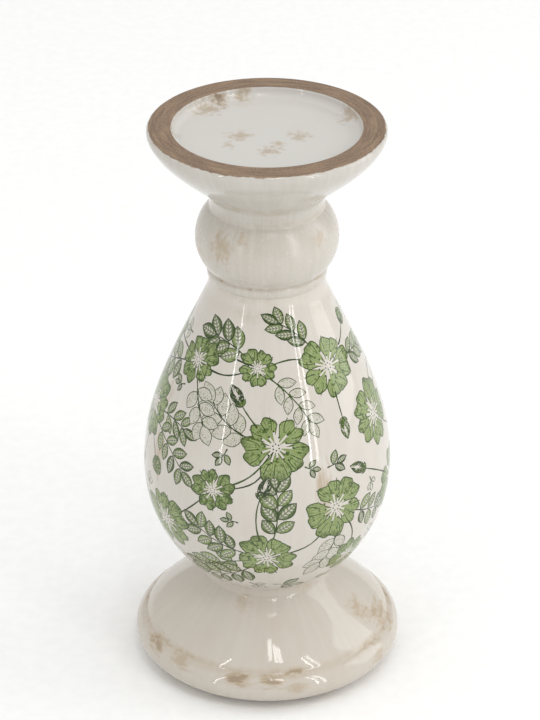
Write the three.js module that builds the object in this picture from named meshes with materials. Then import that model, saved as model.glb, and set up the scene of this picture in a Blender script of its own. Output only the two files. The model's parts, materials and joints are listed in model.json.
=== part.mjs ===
// A glazed ceramic candlestick for one pillar candle, in millimetres, +Z up.
//
// Four hollow castings stand on each other: a spreading foot, a pear-shaped body, a knop with a collar
// under it, and a shallow dish with a broad flat rim. Each casting stands on the flat land of the one
// below, with a spigot down inside it, and a ring of slip under the spigot lutes the two together. Four
// felt pads lift the unglazed foot ring off the table. The inside is one hollow, open through the foot.
//
// The origin is on the axis, at the underside of the felt pads.

import * as THREE from "three";

// ---- Driving dimensions -------------------------------------------------------------------------------

// Castings. Heights run from one seam to the next.
const FOOT_HEIGHT = 42.8;
const BODY_HEIGHT = 139;
const KNOP_HEIGHT = 34;
const DISH_HEIGHT = 33;
const FOOT_RADIUS = 58;
const BODY_RADIUS = 53;
const KNOP_RADIUS = 30;
const RIM_RADIUS = 49.2;
const WALL = 5;

// Outer radii at the three seams.
const WAIST_RADIUS = 28.2;
const COLLAR_RADIUS = 24.4;
const NECK_RADIUS = 24;

// Foot: a rounded flange under a conical slope, with a crease between them.
const FOOT_OVERHANG = 10;
const FOOT_RING_RADIUS = FOOT_RADIUS - FOOT_OVERHANG;
const FOOT_RING_WIDTH = 8;
const FLANGE_HEIGHT = 16.5;
const FLANGE_EQUATOR = 8.8;
const CREASE_INSET = 5.1;
const SHOULDER_RISE = 5.4;
const SHOULDER_RUN = 4.3;
const WAIST_BAND = 3.5;

// Body: the height of its widest circle, and the neck band above its shoulder.
const BODY_EQUATOR = 49.5;
const BODY_NECK_BAND = 6.5;
const BODY_NECK_FLARE = 1.2;

// Knop: a bead of clay for the collar, a bulge that is part of an ellipse, and a plain neck above it.
const COLLAR_HEIGHT = 4.3;
const COLLAR_BEAD = 0.7;
const BULGE_REACH = 19.2;
const KNOP_NECK_BAND = 2.2;

// Dish: a bowl-shaped underside, a flat rim and a recess for the candle.
const DISH_NECK_HEIGHT = 6.9;
const DISH_NECK_FLARE = 2.9;
const RIM_WIDTH = 10.2;
const RIM_EDGE = 1.6;
const LIP_DROP = 1.2;
const RECESS_DEPTH = 4.5;
const RECESS_FILLET = 3.2;
const RECESS_LIP = 0.8;

// Seams: a spigot in a rebate, with a ring of slip under the spigot.
const SPIGOT_LENGTH = 4;
const SPIGOT_THICKNESS = 2.1;
const SPIGOT_CLEARANCE = 0.3;
const LUTING_HEIGHT = 1.5;

// Felt pads, on the middle of the foot ring.
const PAD_COUNT = 4;
const PAD_MARGIN = 0.2;
const PAD_RADIUS = FOOT_RING_WIDTH / 2 - PAD_MARGIN;
const PAD_THICKNESS = 1.2;

// Facets around the axis, and along a long and a short curve of a profile.
const AROUND = 36;
const PAD_AROUND = 16;
const LONG = 6;
const SHORT = 3;

// ---- Materials ----------------------------------------------------------------------------------------

const glaze = new THREE.MeshStandardMaterial({ color: 0xe3dcd2, roughness: 0.14, metalness: 0 });
const biscuit = new THREE.MeshStandardMaterial({ color: 0xd9cbb6, roughness: 0.9, metalness: 0 });
const felt = new THREE.MeshStandardMaterial({ color: 0xb9ab97, roughness: 1, metalness: 0 });

// ---- Profiles -----------------------------------------------------------------------------------------

// A profile is a list of points (radius, height) up the outside of a wall and down its inside.
const at = (radius, height) => new THREE.Vector2(radius, height);

// A cubic curve's points, without the first, so that one curve can follow another.
const bend = (steps, from, a, b, to) => new THREE.CubicBezierCurve(from, a, b, to).getPoints(steps).slice(1);

// The points of an elliptical arc about centre, between two angles in radians, both ends included.
const arc = (steps, centre, reach, rise, start, end) =>
  new THREE.EllipseCurve(centre.x, centre.y, reach, rise, start, end, end < start).getPoints(steps);

// The inside of a wall, from its top down: the outside's points, each moved in by WALL along its normal,
// where they lie between two heights.
function insideOf(outside, lowest, highest) {
  const moved = outside.map((point, i) => {
    const before = outside[Math.max(i - 1, 0)];
    const after = outside[Math.min(i + 1, outside.length - 1)];
    const along = after.clone().sub(before).normalize();
    return at(point.x - along.y * WALL, point.y + along.x * WALL);
  });
  return moved.filter((point) => point.y > lowest && point.y < highest).reverse();
}

// The top of a casting that takes a spigot, from the outside inwards: its land, its rebate and its bore.
const REBATE_DEPTH = SPIGOT_LENGTH + LUTING_HEIGHT;
function rebateAt(radius, height) {
  const mouth = radius - WALL + SPIGOT_THICKNESS + SPIGOT_CLEARANCE;
  const floor = height - REBATE_DEPTH;
  return [at(radius, height), at(mouth, height), at(mouth, floor), at(radius - WALL, floor)];
}

// The bottom of a casting that stands on another, from its bore outwards: its spigot and its land.
function spigotAt(radius) {
  const bore = radius - WALL;
  const cheek = bore + SPIGOT_THICKNESS;
  return [at(bore, -SPIGOT_LENGTH), at(cheek, -SPIGOT_LENGTH), at(cheek, 0), at(radius, 0)];
}

function footProfile() {
  const ring = at(FOOT_RING_RADIUS, 0);
  const equator = at(FOOT_RADIUS, FLANGE_EQUATOR);
  const crease = at(FOOT_RADIUS - CREASE_INSET, FLANGE_HEIGHT);
  const shoulder = at(crease.x - SHOULDER_RUN, crease.y + SHOULDER_RISE);
  const band = at(WAIST_RADIUS, FOOT_HEIGHT - WAIST_BAND);
  const overhang = FOOT_RADIUS - FOOT_RING_RADIUS;
  const flange = [
    ring,
    ...bend(
      LONG,
      ring,
      at(ring.x + 0.35 * overhang, 0.14 * equator.y),
      at(equator.x, 0.52 * equator.y),
      equator,
    ),
    ...bend(
      LONG,
      equator,
      at(equator.x, equator.y + 0.46 * (crease.y - equator.y)),
      at(crease.x + 0.6 * CREASE_INSET, crease.y - 0.17 * (crease.y - equator.y)),
      crease,
    ),
  ];
  const slope = [
    shoulder,
    ...bend(
      LONG,
      shoulder,
      at(shoulder.x - 0.32 * (shoulder.x - band.x), shoulder.y + 0.36 * (band.y - shoulder.y)),
      at(band.x + 0.19 * (shoulder.x - band.x), band.y - 0.26 * (band.y - shoulder.y)),
      band,
    ),
  ];
  const bead = bend(
    SHORT,
    crease,
    at(crease.x - 0.07 * SHOULDER_RUN, crease.y + 0.26 * SHOULDER_RISE),
    at(shoulder.x + 0.51 * SHOULDER_RUN, shoulder.y - 0.37 * SHOULDER_RISE),
    shoulder,
  );

  // Inside, the wall follows the slope, swells behind the flange and turns in over the foot ring.
  const roof = insideOf(slope, 0, FOOT_HEIGHT - REBATE_DEPTH);
  const eaves = roof[roof.length - 1];
  const belly = at(FOOT_RADIUS - WALL, FLANGE_EQUATOR);
  const lip = at(FOOT_RING_RADIUS, WALL);
  const bore = FOOT_RING_RADIUS - FOOT_RING_WIDTH;
  const pocket = [
    ...bend(
      SHORT,
      eaves,
      at(eaves.x + 0.45 * (belly.x - eaves.x), eaves.y - 0.4 * (eaves.y - belly.y)),
      at(belly.x, belly.y + 0.4 * (eaves.y - belly.y)),
      belly,
    ),
    ...bend(SHORT, belly, at(belly.x, lip.y + 0.4 * (belly.y - lip.y)), at(lip.x + 2, lip.y), lip),
  ];
  return [
    ...flange,
    ...bead.slice(0, -1),
    ...slope,
    ...rebateAt(WAIST_RADIUS, FOOT_HEIGHT),
    ...roof,
    ...pocket,
    at(bore, WALL),
    at(bore, 0),
    ring,
  ];
}

function bodyProfile() {
  const waist = at(WAIST_RADIUS, 0);
  const equator = at(BODY_RADIUS, BODY_EQUATOR);
  const shoulder = at(COLLAR_RADIUS + BODY_NECK_FLARE, BODY_HEIGHT - BODY_NECK_BAND);
  const swell = equator.x - waist.x;
  const fall = equator.x - shoulder.x;
  const climb = shoulder.y - equator.y;
  const outside = [
    waist,
    ...bend(
      LONG,
      waist,
      at(waist.x + 0.435 * swell, 0.15 * equator.y),
      at(equator.x, 0.5 * equator.y),
      equator,
    ),
    ...bend(
      LONG,
      equator,
      at(equator.x, equator.y + 0.34 * climb),
      at(shoulder.x + 0.573 * fall, shoulder.y - 0.415 * climb),
      shoulder,
    ),
    ...bend(
      SHORT,
      shoulder,
      at(COLLAR_RADIUS + 0.42 * BODY_NECK_FLARE, shoulder.y + 0.23 * BODY_NECK_BAND),
      at(COLLAR_RADIUS, BODY_HEIGHT - 0.38 * BODY_NECK_BAND),
      at(COLLAR_RADIUS, BODY_HEIGHT),
    ),
  ];
  const inside = insideOf(outside, 0, BODY_HEIGHT - REBATE_DEPTH);
  return [
    ...outside,
    ...rebateAt(COLLAR_RADIUS, BODY_HEIGHT).slice(1),
    ...inside,
    ...spigotAt(WAIST_RADIUS),
  ];
}

function knopProfile() {
  const seat = at(COLLAR_RADIUS, 0);
  const crease = at(COLLAR_RADIUS, COLLAR_HEIGHT);
  const collar = bend(
    SHORT,
    seat,
    at(COLLAR_RADIUS + 1.33 * COLLAR_BEAD, 0.25 * COLLAR_HEIGHT),
    at(COLLAR_RADIUS + 1.33 * COLLAR_BEAD, 0.85 * COLLAR_HEIGHT),
    crease,
  );

  // The bulge is the stretch of an ellipse that runs from the collar's crease to the neck.
  const core = KNOP_RADIUS - BULGE_REACH;
  const low = Math.acos((COLLAR_RADIUS - core) / BULGE_REACH);
  const high = Math.acos((NECK_RADIUS - core) / BULGE_REACH);
  const rise = (KNOP_HEIGHT - KNOP_NECK_BAND - COLLAR_HEIGHT) / (Math.sin(low) + Math.sin(high));
  const middle = at(core, COLLAR_HEIGHT + rise * Math.sin(low));
  const bulge = arc(LONG + SHORT, middle, BULGE_REACH, rise, -low, high);
  return [
    seat,
    ...collar,
    ...bulge.slice(1),
    ...rebateAt(NECK_RADIUS, KNOP_HEIGHT),
    ...insideOf(bulge, 0, KNOP_HEIGHT - REBATE_DEPTH),
    ...spigotAt(COLLAR_RADIUS),
  ];
}

function dishProfile() {
  const neck = at(NECK_RADIUS, 0);
  const flare = at(NECK_RADIUS + DISH_NECK_FLARE, DISH_NECK_HEIGHT);
  const lip = at(RIM_RADIUS, DISH_HEIGHT - RIM_EDGE - LIP_DROP);
  const reach = lip.x - flare.x;
  const climb = lip.y - flare.y;
  const underside = [
    ...bend(
      SHORT,
      neck,
      at(neck.x, 0.38 * flare.y),
      at(flare.x - 0.67 * DISH_NECK_FLARE, 0.7 * flare.y),
      flare,
    ),
    ...bend(
      LONG,
      flare,
      at(flare.x + 0.34 * reach, flare.y + 0.28 * climb),
      at(flare.x + 0.885 * reach, flare.y + 0.65 * climb),
      lip,
    ),
  ];

  // The rim is flat between a rounded edge and the recess, whose floor meets its wall in a fillet.
  const edge = at(RIM_RADIUS - RIM_EDGE, DISH_HEIGHT - RIM_EDGE);
  const recess = RIM_RADIUS - RIM_WIDTH;
  const brink = at(recess + RECESS_LIP, DISH_HEIGHT - RECESS_LIP);
  const floor = DISH_HEIGHT - RECESS_DEPTH;
  const cove = at(recess - RECESS_FILLET, floor + RECESS_FILLET);
  const top = [
    ...arc(SHORT, edge, RIM_EDGE, RIM_EDGE, 0, Math.PI / 2),
    ...arc(SHORT, brink, RECESS_LIP, RECESS_LIP, Math.PI / 2, Math.PI),
    ...arc(SHORT, cove, RECESS_FILLET, RECESS_FILLET, 0, -Math.PI / 2),
    at(0, floor),
  ];

  // The hollow under the floor.
  const ceiling = floor - WALL;
  const hollow = insideOf([neck, ...underside], 0, ceiling);
  return [
    at(0, ceiling),
    at(hollow[0].x, ceiling),
    ...hollow,
    ...spigotAt(NECK_RADIUS),
    ...underside,
    ...top,
  ];
}

// A ring of slip between a rebate's floor and the end of the spigot above it.
function lutingProfile(radius) {
  const inner = radius - WALL;
  const outer = inner + SPIGOT_THICKNESS;
  return [
    at(inner, 0),
    at(outer, 0),
    at(outer, LUTING_HEIGHT),
    at(inner, LUTING_HEIGHT),
    at(inner, 0),
  ];
}

// ---- Pieces -------------------------------------------------------------------------------------------

// The solid that a profile sweeps about the axis, in its own named mesh at a height.
function turned(name, profile, height, material) {
  const geometry = new THREE.LatheGeometry(profile, AROUND).rotateX(Math.PI / 2);
  const mesh = new THREE.Mesh(geometry, material);
  mesh.name = name;
  mesh.position.z = height;
  return mesh;
}

function feltPads() {
  const group = new THREE.Group();
  for (let i = 0; i < PAD_COUNT; i += 1) {
    const disc = new THREE.CylinderGeometry(PAD_RADIUS, PAD_RADIUS, PAD_THICKNESS, PAD_AROUND);
    const pad = new THREE.Mesh(disc.rotateX(Math.PI / 2), felt);
    const turn = ((i + 0.5) / PAD_COUNT) * 2 * Math.PI;
    const reach = FOOT_RING_RADIUS - FOOT_RING_WIDTH / 2;
    pad.name = `felt_pad_${i + 1}`;
    pad.position.set(reach * Math.cos(turn), reach * Math.sin(turn), PAD_THICKNESS / 2);
    group.add(pad);
  }
  return group;
}

// The castings one on another, from the top of the pads up, with the slip in their seams.
function castings() {
  const group = new THREE.Group();
  const waist = FOOT_HEIGHT;
  const collar = waist + BODY_HEIGHT;
  const neck = collar + KNOP_HEIGHT;
  group.position.z = PAD_THICKNESS;
  group.add(
    turned("foot", footProfile(), 0, glaze),
    turned("luting_ring_lower", lutingProfile(WAIST_RADIUS), waist - REBATE_DEPTH, biscuit),
    turned("body", bodyProfile(), waist, glaze),
    turned("luting_ring_middle", lutingProfile(COLLAR_RADIUS), collar - REBATE_DEPTH, biscuit),
    turned("knop", knopProfile(), collar, glaze),
    turned("luting_ring_upper", lutingProfile(NECK_RADIUS), neck - REBATE_DEPTH, biscuit),
    turned("candle_dish", dishProfile(), neck, glaze),
  );
  return group;
}

const candlestick = new THREE.Group();
candlestick.name = "candlestick";
candlestick.add(feltPads(), castings());

export default candlestick;
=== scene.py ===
"""A glazed ceramic candlestick with a green transfer print, for Blender 4.5.

The CAD model gives the size and the place of every piece. This script gives the four castings their fine
surfaces and their glaze, prints the body, and lights the whole on a pale floor. Lengths are in millimetres
while an outline is drawn, and in metres once it is a mesh.

Angles round the candlestick are turns: 0 faces the camera (-Y) and a positive turn is to its right (+X).
"""

import json
import math

import bmesh
import bpy
import numpy as np
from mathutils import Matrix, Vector, noise
from mathutils.geometry import delaunay_2d_cdt

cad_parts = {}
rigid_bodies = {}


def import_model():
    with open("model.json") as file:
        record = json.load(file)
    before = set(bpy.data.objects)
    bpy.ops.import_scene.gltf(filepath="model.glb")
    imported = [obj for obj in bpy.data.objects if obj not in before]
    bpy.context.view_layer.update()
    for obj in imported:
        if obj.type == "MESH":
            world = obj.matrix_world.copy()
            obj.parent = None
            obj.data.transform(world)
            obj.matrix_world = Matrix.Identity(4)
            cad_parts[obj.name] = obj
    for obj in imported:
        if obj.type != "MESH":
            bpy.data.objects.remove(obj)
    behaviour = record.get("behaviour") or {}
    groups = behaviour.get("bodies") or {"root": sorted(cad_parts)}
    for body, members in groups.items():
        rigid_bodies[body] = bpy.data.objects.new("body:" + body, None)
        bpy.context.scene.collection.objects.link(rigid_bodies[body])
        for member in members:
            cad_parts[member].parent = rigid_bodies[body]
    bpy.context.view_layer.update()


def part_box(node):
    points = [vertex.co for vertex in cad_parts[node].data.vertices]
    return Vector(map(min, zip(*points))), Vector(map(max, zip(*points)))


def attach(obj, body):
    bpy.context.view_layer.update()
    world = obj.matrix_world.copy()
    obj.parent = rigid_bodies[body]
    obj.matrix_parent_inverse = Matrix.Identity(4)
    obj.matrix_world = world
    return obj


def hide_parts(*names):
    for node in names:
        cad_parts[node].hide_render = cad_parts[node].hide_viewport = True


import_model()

MM = 0.001


# ---- Sizes ------------------------------------------------------------------------------------------

# Seams, from the CAD castings.
PAD_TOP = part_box("felt_pad_1")[1].z / MM
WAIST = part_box("foot")[1].z / MM
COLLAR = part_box("body")[1].z / MM
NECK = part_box("knop")[1].z / MM
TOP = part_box("candle_dish")[1].z / MM

FOOT_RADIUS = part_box("foot")[1].x / MM
BODY_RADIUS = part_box("body")[1].x / MM
KNOP_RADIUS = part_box("knop")[1].x / MM
RIM_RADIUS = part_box("candle_dish")[1].x / MM

WALL = 5
WAIST_RADIUS = 28.2
COLLAR_RADIUS = 24.4
NECK_RADIUS = 24

FOOT_RING_RADIUS = 48
FOOT_RING_WIDTH = 8
FLANGE_HEIGHT = 16.5
FLANGE_EQUATOR = 8.8
CREASE_INSET = 5.1
SHOULDER_RISE = 5.4
SHOULDER_RUN = 4.3
WAIST_BAND = 3.5

BODY_EQUATOR = 49.5
BODY_NECK_BAND = 6.5
BODY_NECK_FLARE = 1.2

COLLAR_HEIGHT = 4.3
COLLAR_BEAD = 0.7
BULGE_REACH = 19.2
KNOP_NECK_BAND = 2.2

DISH_NECK_HEIGHT = 6.9
DISH_NECK_FLARE = 2.9
RIM_WIDTH = 10.2
RIM_EDGE = 1.6
LIP_DROP = 1.2
RECESS_DEPTH = 4.5
RECESS_FILLET = 3.2
RECESS_LIP = 0.8

SPIGOT_LENGTH = 4
SPIGOT_THICKNESS = 2.1
SPIGOT_CLEARANCE = 0.3
LUTING_HEIGHT = 1.5
REBATE_DEPTH = SPIGOT_LENGTH + LUTING_HEIGHT

PAD_ROUNDING = 0.35


# ---- Outlines ---------------------------------------------------------------------------------------

# An outline is an array of (radius, height) points that runs once round a wall's section.
STEP = 1.6  # the usual distance between an outline's points
SOFT_EDGE = 0.45  # glaze rounds every edge by about this much
SHARP_TURN = 22  # degrees; an outline that turns by less has no corner there


def cubic(start, a, b, end):
    """Points along a cubic curve, both ends included, about STEP apart."""
    ends = [np.array(p, float) for p in (start, a, b, end)]
    span = sum(np.linalg.norm(q - p) for p, q in zip(ends, ends[1:]))
    t = np.linspace(0, 1, max(4, int(span / STEP)) + 1)[:, None]
    return (
        (1 - t) ** 3 * ends[0]
        + 3 * (1 - t) ** 2 * t * ends[1]
        + 3 * (1 - t) * t**2 * ends[2]
        + t**3 * ends[3]
    )


def curve(start, end, leave, meet):
    """A cubic whose two handles lie at shares (across, up) of the way from its start to its end."""
    start, end = np.array(start, float), np.array(end, float)
    return cubic(start, start + (end - start) * leave, start + (end - start) * meet, end)


def arc(centre, reach, rise, start, end, steps):
    """Points along an elliptical arc between two angles in radians."""
    t = np.linspace(start, end, steps + 1)
    return np.stack([centre[0] + reach * np.cos(t), centre[1] + rise * np.sin(t)], 1)


def joined(*runs):
    """Runs of points one after another, with no point twice."""
    points = np.vstack([np.atleast_2d(np.array(run, float)) for run in runs])
    moves_on = np.linalg.norm(np.diff(points, axis=0), axis=1) > 1e-6
    return points[np.concatenate([[True], moves_on])]


def inside_of(outside, lowest, highest):
    """The inside of a wall from its top down: the outside moved in by WALL along its normal."""
    along = np.gradient(outside, axis=0)
    along /= np.linalg.norm(along, axis=1)[:, None]
    moved = outside + WALL * np.stack([-along[:, 1], along[:, 0]], 1)
    return moved[(moved[:, 1] > lowest) & (moved[:, 1] < highest)][::-1]


def softened(outline, *flush, radius=SOFT_EDGE, closed=True):
    """The outline with its sharp corners rounded, except the flush ones, and its long stretches divided."""
    points = [np.array(p, float) for p in outline]
    rounded = []
    for i, corner in enumerate(points):
        if (not closed and i in (0, len(points) - 1)) or any(np.allclose(corner, kept) for kept in flush):
            rounded.append(corner)
            continue
        back = points[i - 1] - corner
        ahead = points[(i + 1) % len(points)] - corner
        lengths = np.linalg.norm(back), np.linalg.norm(ahead)
        straight = -np.dot(back, ahead) / (lengths[0] * lengths[1])
        if straight > math.cos(math.radians(SHARP_TURN)):
            rounded.append(corner)
            continue
        cut = [min(radius, 0.45 * length) for length in lengths]
        first = corner + back / lengths[0] * cut[0]
        last = corner + ahead / lengths[1] * cut[1]
        for t in (0, 0.25, 0.5, 0.75, 1):
            rounded.append((1 - t) ** 2 * first + 2 * (1 - t) * t * corner + t**2 * last)
    result = []
    count = len(rounded)
    for i in range(count if closed else count - 1):
        start, end = rounded[i], rounded[(i + 1) % count]
        pieces = max(1, math.ceil(np.linalg.norm(end - start) / (1.6 * STEP)))
        result.extend(start + (end - start) * k / pieces for k in range(pieces))
    if not closed:
        result.append(rounded[-1])
    return np.array(result)


def rebate(radius, height):
    """The land, rebate and bore at the top of a casting that takes a spigot."""
    mouth = radius - WALL + SPIGOT_THICKNESS + SPIGOT_CLEARANCE
    floor = height - REBATE_DEPTH
    return [(radius, height), (mouth, height), (mouth, floor), (radius - WALL, floor)]


def spigot(radius, height):
    """The spigot and land at the bottom of a casting that stands on another."""
    bore = radius - WALL
    cheek = bore + SPIGOT_THICKNESS
    end = height - SPIGOT_LENGTH
    return [(bore, end), (cheek, end), (cheek, height), (radius, height)]


def foot_outline():
    base = PAD_TOP
    ring = (FOOT_RING_RADIUS, base)
    equator = (FOOT_RADIUS, base + FLANGE_EQUATOR)
    crease = (FOOT_RADIUS - CREASE_INSET, base + FLANGE_HEIGHT)
    shoulder = (crease[0] - SHOULDER_RUN, crease[1] + SHOULDER_RISE)
    band = (WAIST_RADIUS, WAIST - WAIST_BAND)
    lower = curve(ring, equator, (0.35, 0.14), (1, 0.52))
    upper = curve(equator, crease, (0, 0.46), (0.4, 0.83))
    bead = curve(crease, shoulder, (0.07, 0.26), (0.49, 0.63))
    slope = curve(shoulder, band, (0.32, 0.36), (0.81, 0.74))
    roof = inside_of(slope, 0, WAIST - REBATE_DEPTH)
    belly = (FOOT_RADIUS - WALL, equator[1])
    lip = (FOOT_RING_RADIUS, base + WALL)
    bore = FOOT_RING_RADIUS - FOOT_RING_WIDTH
    pocket = joined(curve(roof[-1], belly, (0.42, 0.399), (1, 0.6)), curve(belly, lip, (0, 0.6), (0.6, 1)))
    outside = joined(lower, upper, bead, slope, [(WAIST_RADIUS, WAIST)])
    inside = joined(rebate(WAIST_RADIUS, WAIST)[1:], roof, pocket, [(bore, base + WALL), (bore, base)])
    return joined(outside, inside), outside


def body_outside():
    """The printed outside of the body, from the waist up to the collar."""
    waist = (WAIST_RADIUS, WAIST)
    equator = (BODY_RADIUS, WAIST + BODY_EQUATOR)
    shoulder = (COLLAR_RADIUS + BODY_NECK_FLARE, COLLAR - BODY_NECK_BAND)
    return joined(
        curve(waist, equator, (0.435, 0.15), (1, 0.5)),
        curve(equator, shoulder, (0, 0.34), (0.427, 0.585)),
        curve(shoulder, (COLLAR_RADIUS, COLLAR), (0.58, 0.23), (1, 0.62)),
    )


def body_inside(outside):
    """The rest of the body's section, from the collar's land round to the waist's."""
    inner = inside_of(outside, WAIST, COLLAR - REBATE_DEPTH)
    return joined(rebate(COLLAR_RADIUS, COLLAR), inner, spigot(WAIST_RADIUS, WAIST))


def knop_outline():
    crease = COLLAR + COLLAR_HEIGHT
    bead = COLLAR_RADIUS + 1.33 * COLLAR_BEAD
    collar = cubic(
        (COLLAR_RADIUS, COLLAR),
        (bead, COLLAR + 0.25 * COLLAR_HEIGHT),
        (bead, COLLAR + 0.85 * COLLAR_HEIGHT),
        (COLLAR_RADIUS, crease),
    )
    core = KNOP_RADIUS - BULGE_REACH
    low = math.acos((COLLAR_RADIUS - core) / BULGE_REACH)
    high = math.acos((NECK_RADIUS - core) / BULGE_REACH)
    rise = (NECK - KNOP_NECK_BAND - crease) / (math.sin(low) + math.sin(high))
    middle = (core, crease + rise * math.sin(low))
    bulge = arc(middle, BULGE_REACH, rise, -low, high, 28)
    outside = joined(collar, bulge, [(NECK_RADIUS, NECK)])
    inside = joined(
        rebate(NECK_RADIUS, NECK)[1:],
        inside_of(bulge, COLLAR, NECK - REBATE_DEPTH),
        spigot(COLLAR_RADIUS, COLLAR)[:-1],
    )
    return joined(outside, inside), outside


def dish_outline():
    """The dish's section, from the middle of the ceiling of its hollow round to the middle of its floor."""
    flare = (NECK_RADIUS + DISH_NECK_FLARE, NECK + DISH_NECK_HEIGHT)
    lip = (RIM_RADIUS, TOP - RIM_EDGE - LIP_DROP)
    neck = curve((NECK_RADIUS, NECK), flare, (0, 0.38), (0.33, 0.7))
    underside = joined(neck, curve(flare, lip, (0.34, 0.28), (0.885, 0.65)))
    recess = RIM_RADIUS - RIM_WIDTH
    floor = TOP - RECESS_DEPTH
    edge = (RIM_RADIUS - RIM_EDGE, TOP - RIM_EDGE)
    brink = (recess + RECESS_LIP, TOP - RECESS_LIP)
    cove = (recess - RECESS_FILLET, floor + RECESS_FILLET)
    top = joined(
        arc(edge, RIM_EDGE, RIM_EDGE, 0, math.pi / 2, 6),
        arc(brink, RECESS_LIP, RECESS_LIP, math.pi / 2, math.pi, 5),
        arc(cove, RECESS_FILLET, RECESS_FILLET, 0, -math.pi / 2, 8),
        [(0, floor)],
    )
    ceiling = floor - WALL
    hollow = inside_of(underside, NECK, ceiling)
    inside = joined([(0, ceiling), (hollow[0][0], ceiling)], hollow, spigot(NECK_RADIUS, NECK)[:-1])
    outside = joined(underside, top)
    return joined(inside, outside), outside


# ---- Turned meshes ----------------------------------------------------------------------------------

AROUND = 176
SLOW_WOBBLE = 0.10  # how far a casting is out of round, at a radius of WOBBLE_RADIUS
QUICK_WOBBLE = 0.05
WOBBLE_RADIUS = 50
DRAWN_IN = SLOW_WOBBLE + QUICK_WOBBLE  # makes up for the wobble, so that the castings don't outgrow the CAD
SHADING_ANGLE = math.radians(45)  # edges sharper than this stay sharp
ON_RUN = 0.35  # how near to a run of an outline a point lies on it


def wobbled(turn, radius, height):
    """Points on a hand-finished casting: the true circle, a little out of round and drawn in."""
    slow = np.sin(2 * turn + 0.7 + height / 45) * SLOW_WOBBLE
    quick = np.sin(3 * turn + 2.1 - height / 28) * QUICK_WOBBLE
    out = radius * (1 + (slow + quick) / WOBBLE_RADIUS) - DRAWN_IN
    out = np.where(radius > 1e-6, np.maximum(out, 0.05), 0.0)
    return np.stack([out * np.sin(turn), -out * np.cos(turn), height + 0 * turn], -1)


def mesh_object(name, points, faces, materials):
    mesh = bpy.data.meshes.new(name)
    mesh.from_pydata((np.asarray(points) * MM).tolist(), [], faces)
    for material in materials:
        mesh.materials.append(material)
    mesh.polygons.foreach_set("use_smooth", [True] * len(mesh.polygons))
    piece = bpy.data.objects.new(name, mesh)
    bpy.context.collection.objects.link(piece)
    return piece


def beside(run):
    """A test of whether a point of a section lies on that run of its outline."""
    start, span = run[:-1], np.diff(run, axis=0)

    def test(point):
        share = np.clip(((point - start) * span).sum(1) / (span**2).sum(1), 0, 1)
        return np.linalg.norm(start + share[:, None] * span - point, axis=1).min() < ON_RUN

    return test


def ring_faces(low, high):
    """The faces between two rings of point numbers."""
    return [list(face) for face in zip(low, low[1:] + low[:1], high[1:] + high[:1], high)]


def turned(name, outline, materials, is_first, closed=True, around=AROUND):
    """The solid that an outline sweeps. is_first says where in its section the first material is."""
    turns = np.linspace(-math.pi, math.pi, around, endpoint=False)
    points = []
    rings = []
    for radius, height in outline:
        if radius < 1e-6:
            rings.append([len(points)] * around)
            points.append((0, 0, height))
        else:
            rings.append(list(range(len(points), len(points) + around)))
            points.extend(wobbled(turns, radius, height))
    faces = []
    slots = []
    count = len(outline)
    for i in range(count if closed else count - 1):
        low, high = rings[i], rings[(i + 1) % count]
        slot = 0 if is_first((outline[i] + outline[(i + 1) % count]) / 2) else 1
        for face in ring_faces(low, high):
            faces.append([v for n, v in enumerate(face) if v != face[n - 1]])
            slots.append(slot)
    piece = mesh_object(name, points, faces, materials)
    piece.data.polygons.foreach_set("material_index", slots)
    piece.data.set_sharp_from_angle(angle=SHADING_ANGLE)
    return piece


# ---- The body's printed face ------------------------------------------------------------------------

# A place on the body's outside is (turn, climb): radians round it, and millimetres up its outline.
OUTSIDE = body_outside()
CLIMB = np.concatenate([[0], np.cumsum(np.linalg.norm(np.diff(OUTSIDE, axis=0), axis=1))])
SHEET_RADIUS = 44  # the print is triangulated as if on a cylinder of about the body's mean radius
GRID_ROWS = round(CLIMB[-1] / 2)
PRINT_MARGIN = 1.2  # bare glaze kept at both ends of the body


def radius_at(climb):
    return np.interp(climb, CLIMB, OUTSIDE[:, 0])


def climb_at(above_waist):
    return np.interp(WAIST + above_waist, OUTSIDE[:, 1], CLIMB)


def on_body(turn, climb):
    return wobbled(turn, radius_at(climb), np.interp(climb, CLIMB, OUTSIDE[:, 1]))


def body_normals(turn, climb):
    """Unit normals of the body's outside, from its own differences."""
    step = 0.4
    lower = np.clip(climb - step, 0, CLIMB[-1])
    upper = np.clip(climb + step, 0, CLIMB[-1])
    around = on_body(turn + 0.01, climb) - on_body(turn - 0.01, climb)
    up = on_body(turn, upper) - on_body(turn, lower)
    normal = np.cross(around, up)
    return normal / np.linalg.norm(normal, axis=-1)[..., None]


class Spot:
    """A place on the body with a heading: 0 is up, and a positive heading leans to the right."""

    def __init__(self, turn, climb, heading=0.0):
        self.turn = turn
        self.climb = climb
        self.heading = heading

    def away(self, across, along, swing=0.0):
        """The spot that many millimetres across and along, with its heading swung by some degrees."""
        turn, climb = self.outward(np.array([[across, along]]))[0]
        return Spot(turn, climb, self.heading + math.radians(swing))

    def outward(self, points):
        """Places on the body for points (across, along) in millimetres from the spot."""
        c, s = math.cos(self.heading), math.sin(self.heading)
        climb = self.climb - points[:, 0] * s + points[:, 1] * c
        return np.stack([self.turn + (points[:, 0] * c + points[:, 1] * s) / radius_at(climb), climb], 1)

    def inward(self, turn, climb):
        """The opposite of outward."""
        dx = (turn - self.turn) * radius_at(climb)
        dy = climb - self.climb
        c, s = math.cos(self.heading), math.sin(self.heading)
        return dx * c - dy * s, dx * s + dy * c


# ---- Motifs -----------------------------------------------------------------------------------------

# The print is a list of shapes, and a later shape lies over an earlier one. Each has its outline on the
# body, its ink, and the spot and size that its own fine pattern is drawn in.
INKS = ("bare", "line", "leaf", "petal", "bud", "pale")
LINE = 0.5  # the width of a drawn outline, in millimetres
HALF_FOLD = 0.2  # half the width of the folds drawn on a petal
shapes = []
chance = np.random.default_rng(11)


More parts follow.
